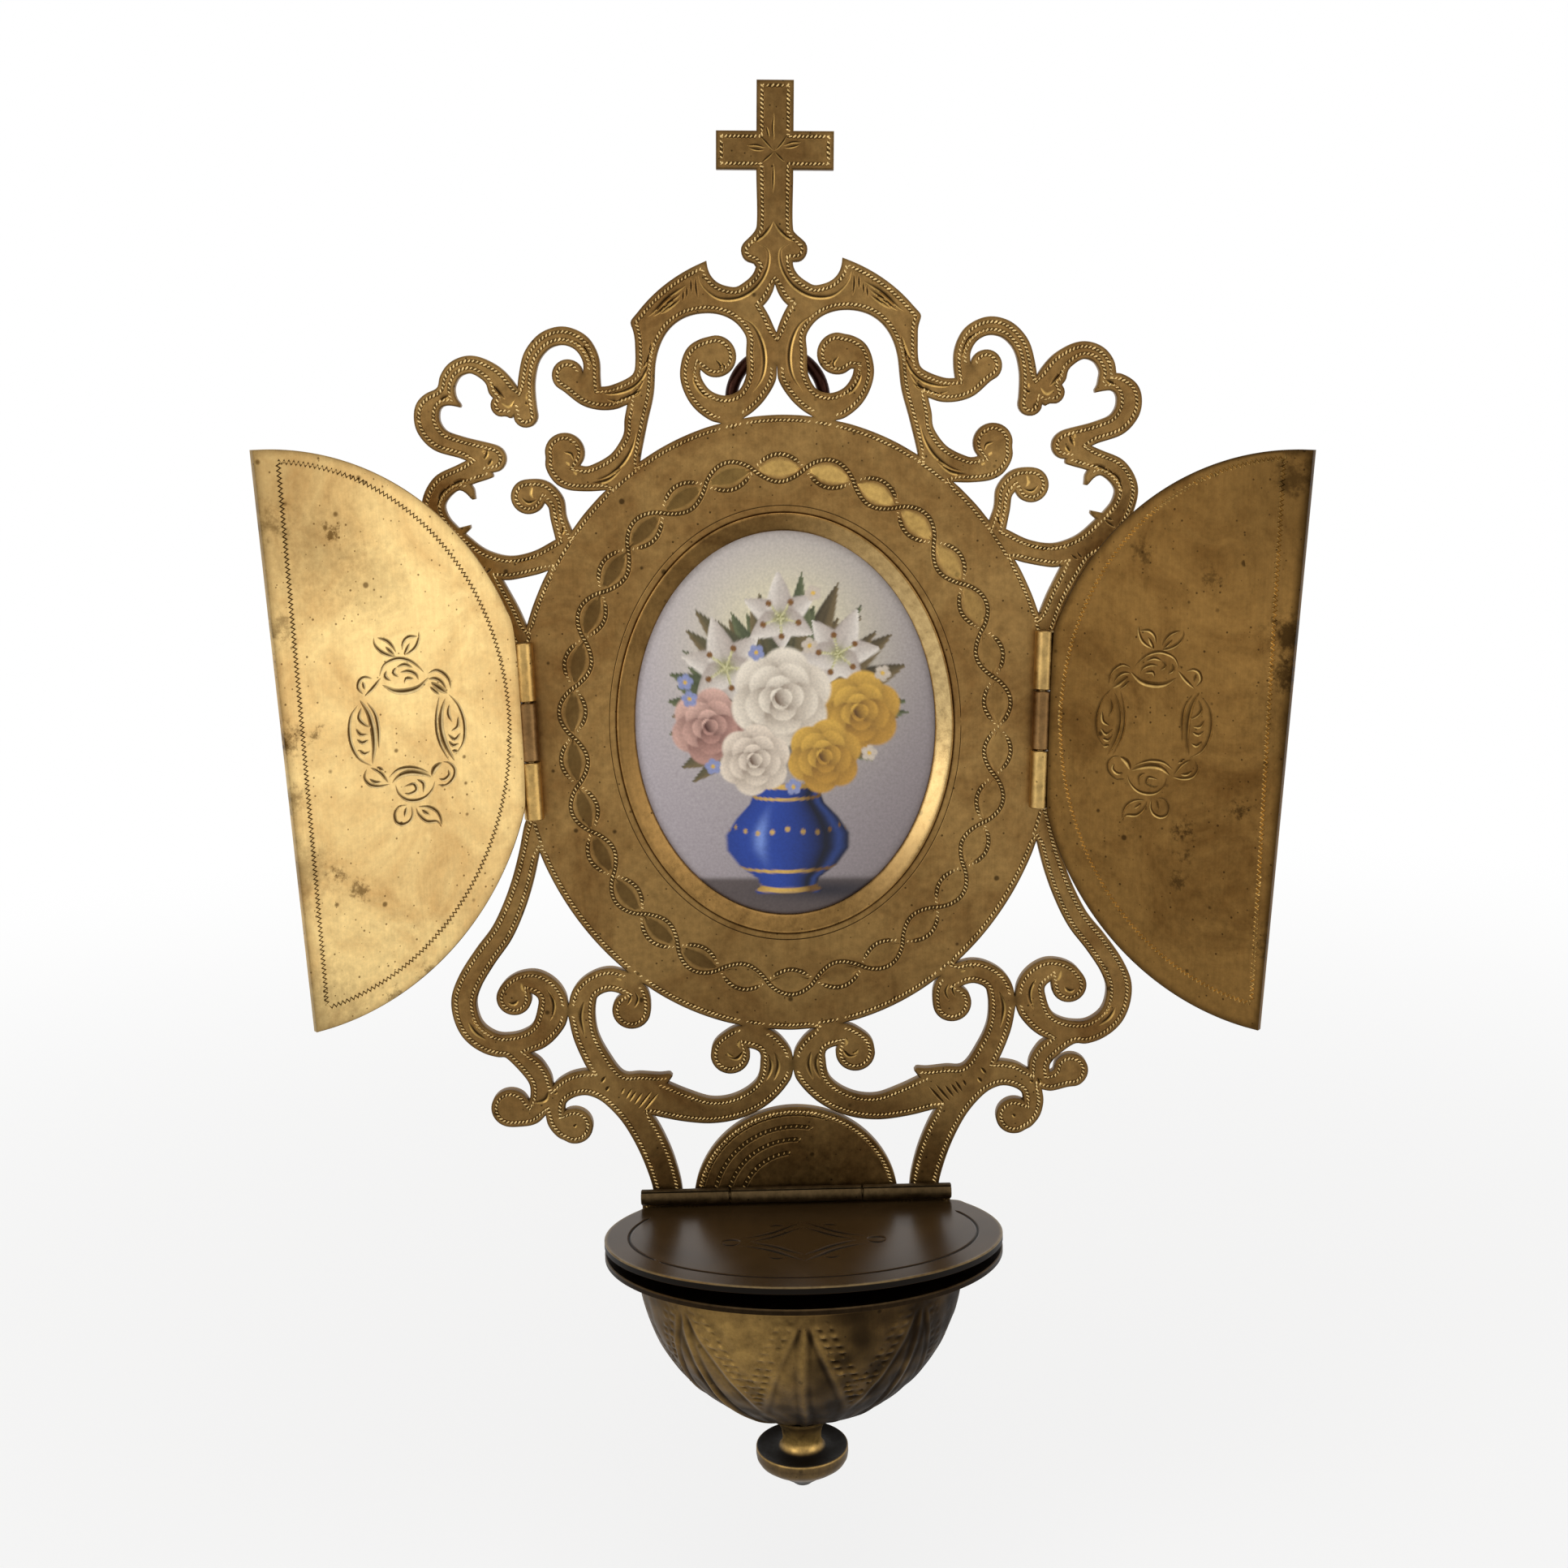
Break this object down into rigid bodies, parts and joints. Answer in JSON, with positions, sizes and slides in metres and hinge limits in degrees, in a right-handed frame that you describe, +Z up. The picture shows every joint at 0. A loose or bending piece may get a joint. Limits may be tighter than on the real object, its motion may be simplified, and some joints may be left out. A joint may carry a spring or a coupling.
{
  "type": "holy water stoup",
  "caption": "Wall-hung brass holy water stoup: fret-cut plate with cross, oval porcelain plaque behind hinged half-oval doors, and a lidded half-round font with finial.",
  "frame": {"origin": "on the wall, midway between the two door hinges, on the rear face of the cap behind the plaque", "axes": "+X to the right as seen from the front, +Y back into the wall, +Z up; the front faces -Y"},
  "size_m": [0.1675, 0.0484, 0.2449],
  "materials": {
    "plate_brass": "aged, engraved sheet brass",
    "door_brass": "rubbed sheet brass with dark spots",
    "pin_brass": "dull brass",
    "dark_bronze": "brass with a dark brown patina",
    "porcelain": "opaque glazed porcelain, painted",
    "card": "raw packing card",
    "dark_iron": "dark iron wire"
  },
  "bodies": {
    "plate": {"backplate": "plate_brass", "bezel_ring": "plate_brass", "porcelain_plaque": "porcelain", "plaque_packing": "card", "backing_cap": "plate_brass", "left_plate_knuckle": "plate_brass", "left_hinge_pin": "pin_brass", "right_plate_knuckle": "plate_brass", "right_hinge_pin": "pin_brass", "lid_plate_knuckle": "plate_brass", "lid_hinge_pin": "pin_brass", "bowl_flange": "dark_bronze", "font_bowl": "dark_bronze", "bowl_rivet_left": "plate_brass", "bowl_rivet_right": "plate_brass", "finial": "dark_bronze", "finial_nut": "pin_brass", "ring_staple": "plate_brass"},
    "left_door": {"left_door": "door_brass", "left_door_upper_knuckle": "door_brass", "left_door_lower_knuckle": "door_brass"},
    "right_door": {"right_door": "door_brass", "right_door_upper_knuckle": "door_brass", "right_door_lower_knuckle": "door_brass"},
    "font_lid": {"font_lid": "dark_bronze", "lid_left_knuckle": "dark_bronze", "lid_right_knuckle": "dark_bronze"},
    "hanging_ring": {"hanging_ring": "dark_iron"}
  },
  "joints": [
    {"name": "left_door_swing", "type": "hinge", "parent": "plate", "child": "left_door", "pos_m": [-0.045, -0.00825, 0], "axis": [-0.0192, 0, 0.9998], "range_deg": [-36.5, 143.5]},
    {"name": "right_door_swing", "type": "hinge", "parent": "plate", "child": "right_door", "pos_m": [0.045, -0.00825, 0], "axis": [-0.0349, 0, -0.9994], "range_deg": [-36.5, 143.5]},
    {"name": "lid_lift", "type": "hinge", "parent": "plate", "child": "font_lid", "pos_m": [0, -0.0081, -0.0873], "axis": [-1, 0, 0], "range_deg": [0, 85]},
    {"name": "ring_swing", "type": "hinge", "parent": "plate", "child": "hanging_ring", "pos_m": [0, -0.00275, 0.0482], "axis": [-1, 0, 0], "range_deg": [0, 150]}
  ]
}
